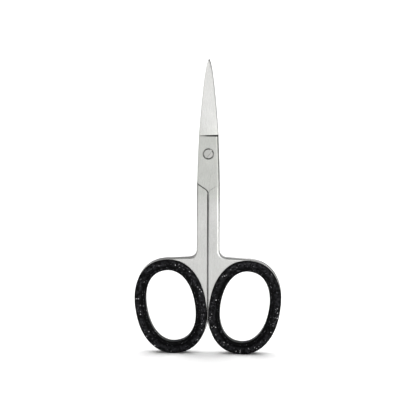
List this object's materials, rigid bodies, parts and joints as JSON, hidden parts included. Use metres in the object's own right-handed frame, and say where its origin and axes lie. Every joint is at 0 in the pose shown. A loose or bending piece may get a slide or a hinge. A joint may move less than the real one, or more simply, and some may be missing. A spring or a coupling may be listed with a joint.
{
  "type": "grooming scissors",
  "caption": "Small nail and cuticle scissors with short tapering blades, a slotted pivot screw and black glitter soft grips in oval steel finger rings.",
  "frame": {"origin": "level with the lowest point of the finger rings, straight below the pivot, midway through the thickness", "axes": "+Z from the finger rings to the blade tips, +Y through the thickness towards the rear half, +X across towards the front half's finger ring"},
  "size_m": [0.0444, 0.004, 0.0899],
  "materials": {
    "satin_steel": "fine satin stainless steel, ground brighter on the blade faces",
    "polished_steel": "polished steel screw",
    "black_soft_grip": "black soft plastic with fine silver glitter"
  },
  "bodies": {
    "rear": {"rear_half": "satin_steel", "pivot_screw": "polished_steel", "rear_ring_grip": "black_soft_grip"},
    "front": {"front_half": "satin_steel", "front_ring_grip": "black_soft_grip"}
  },
  "joints": [
    {"name": "pivot", "type": "hinge", "parent": "rear", "child": "front", "pos_m": [0, 0, 0.0617], "axis": [0, -1, 0], "range_deg": [0, 140]}
  ]
}
